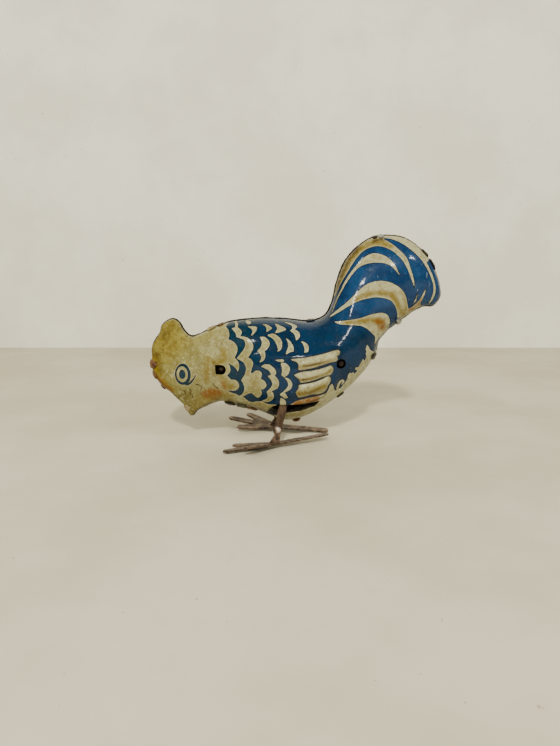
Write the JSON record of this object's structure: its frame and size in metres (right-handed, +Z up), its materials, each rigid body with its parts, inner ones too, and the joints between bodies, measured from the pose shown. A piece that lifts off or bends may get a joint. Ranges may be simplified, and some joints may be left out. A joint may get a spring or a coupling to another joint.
{
  "type": "wind-up tin toy bird",
  "caption": "Printed tinplate bird with a raised tail, two swinging steel legs, and a spring clockwork wound by a key.",
  "frame": {"origin": "middle of the bird's box at the height of the lowest toe, on the surface it stands on", "axes": "+X towards the tail (the head points to -X), +Y towards the side of the key, +Z up"},
  "size_m": [0.1098, 0.0556, 0.0783],
  "materials": {
    "printed_tin": "gloss",
    "aged_tin": "worn",
    "steel": "satin",
    "brass": "satin",
    "spring_steel": "satin",
    "plated_steel": "satin"
  },
  "bodies": {
    "body": {"body_shell_left": "printed_tin", "body_shell_right": "printed_tin", "frame_plate_left": "brass", "frame_plate_right": "brass", "pillar_front": "steel", "pillar_lower": "steel", "pillar_spring": "steel", "neck_stay": "steel", "rear_stay": "steel", "mainspring": "spring_steel"},
    "great": {"great_wheel": "brass", "click_rivet": "steel"},
    "click": {"click_pawl": "steel"},
    "winding": {"winding_arbor": "steel", "ratchet_wheel": "steel", "key_barrel": "plated_steel", "key_wing": "plated_steel"},
    "second": {"second_arbor": "steel", "second_wheel": "brass"},
    "crank": {"crank_arbor": "steel", "crank_disc": "brass", "crank_pin": "steel"},
    "rod": {"connecting_rod": "steel"},
    "legs": {"leg_axle": "steel", "leg_rocker": "steel", "rocker_pin": "steel", "leg_left": "aged_tin", "leg_right": "aged_tin", "foot_left": "aged_tin", "foot_right": "aged_tin", "foot_rivet_left": "aged_tin", "foot_rivet_right": "aged_tin", "axle_cap_left": "steel", "axle_cap_right": "steel"}
  },
  "joints": [
    {"name": "drive", "type": "hinge", "parent": "body", "child": "great", "pos_m": [0.00645, -0.00302, 0.03202], "axis": [0, 1, 0], "continuous": true},
    {"name": "click_lift", "type": "hinge", "parent": "great", "child": "click", "pos_m": [0.00383, -0.00302, 0.03764], "axis": [0, -1, 0], "range_deg": [0, 12], "stiffness_Nm_per_rad": 0.0004, "springref_deg": -11.46},
    {"name": "wind", "type": "hinge", "parent": "great", "child": "winding", "pos_m": [0.00645, -0.00302, 0.03202], "axis": [0, 1, 0], "continuous": true},
    {"name": "second_turn", "type": "hinge", "parent": "body", "child": "second", "pos_m": [-0.00232, -0.00302, 0.03709], "axis": [0, 1, 0], "continuous": true},
    {"name": "crank_turn", "type": "hinge", "parent": "body", "child": "crank", "pos_m": [-0.0102, -0.00302, 0.0357], "axis": [0, 1, 0], "continuous": true},
    {"name": "rod_turn", "type": "hinge", "parent": "crank", "child": "rod", "pos_m": [-0.0102, -0.00302, 0.03763], "axis": [0, 1, 0], "continuous": true},
    {"name": "leg_swing", "type": "hinge", "parent": "body", "child": "legs", "pos_m": [-0.00195, -0.00302, 0.02652], "axis": [0, -1, 0], "range_deg": [0, 28]}
  ],
  "couplings": [
    {"joint": "second_turn", "follows": "drive", "ratio": -4},
    {"joint": "crank_turn", "follows": "drive", "ratio": 16},
    {"joint": "rod_turn", "follows": "drive", "ratio": -16}
  ]
}
